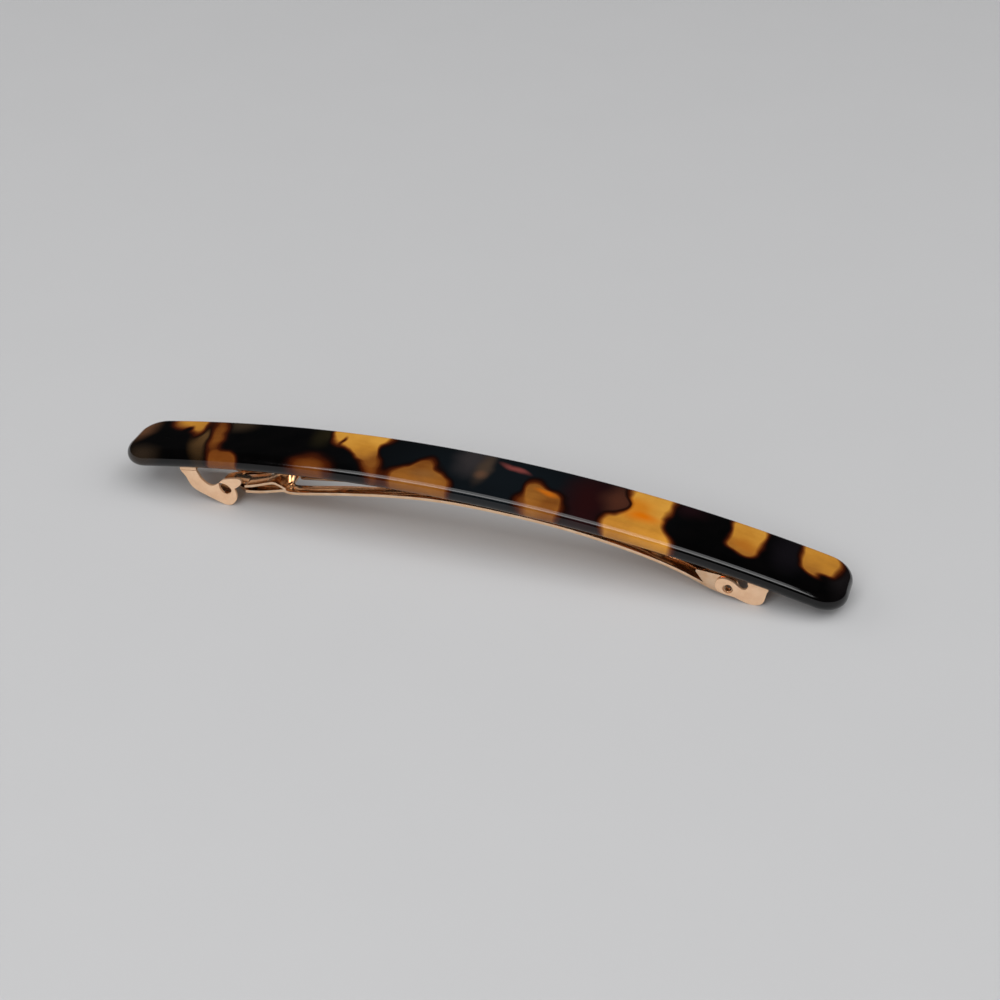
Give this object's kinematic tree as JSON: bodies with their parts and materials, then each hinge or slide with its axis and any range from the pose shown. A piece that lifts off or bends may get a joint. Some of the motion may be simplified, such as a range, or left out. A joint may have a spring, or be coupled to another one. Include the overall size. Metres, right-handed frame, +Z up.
{
  "type": "barrette",
  "caption": "Slim arched hair barrette: a polished tortoise acetate bar over a sprung clip with a hinged closing arm and pinch wings.",
  "frame": {"origin": "on the surface that the barrette stands on, under the middle of its box", "axes": "+Z up through the bar, +X along it from the latch to the hinge, -Y towards the front wing"},
  "size_m": [0.0992, 0.01, 0.0102],
  "materials": {
    "acetate": "polished dark tortoise with amber patches",
    "rose_gold": "polished rose-gold plating",
    "spring_leaf": "bright rose-gold plating on spring steel",
    "tack_steel": "plain turned steel"
  },
  "bodies": {
    "bar_and_base": {"acetate_bar": "acetate", "base_plate": "rose_gold", "front_eyelet": "rose_gold", "rear_eyelet": "rose_gold", "latch_end_tack": "tack_steel", "hinge_end_tack": "tack_steel"},
    "front_wing": {"front_wing": "rose_gold"},
    "rear_wing": {"rear_wing": "rose_gold"},
    "closing_arm": {"closing_arm": "rose_gold"},
    "bow_spring": {"bow_spring": "spring_leaf"}
  },
  "joints": [
    {"name": "arm_hinge", "type": "hinge", "parent": "bar_and_base", "child": "closing_arm", "pos_m": [0.03484, 0, 0.00168], "axis": [0, -1, 0], "range_deg": [0, 105]},
    {"name": "front_wing_pinch", "type": "hinge", "parent": "bar_and_base", "child": "front_wing", "pos_m": [-0.03929, -0.0038, 0.00206], "axis": [-0.1493, 0, 0.9888], "range_deg": [0, 6], "stiffness_Nm_per_rad": 0.2},
    {"name": "rear_wing_pinch", "type": "hinge", "parent": "bar_and_base", "child": "rear_wing", "pos_m": [-0.03929, 0.0038, 0.00206], "axis": [0.1493, 0, -0.9888], "range_deg": [0, 6], "stiffness_Nm_per_rad": 0.2},
    {"name": "bow_spring_press", "type": "hinge", "parent": "closing_arm", "child": "bow_spring", "pos_m": [0.03087, 0, 0.00218], "axis": [0, -1, 0], "range_deg": [0, 1], "stiffness_Nm_per_rad": 0.3}
  ]
}
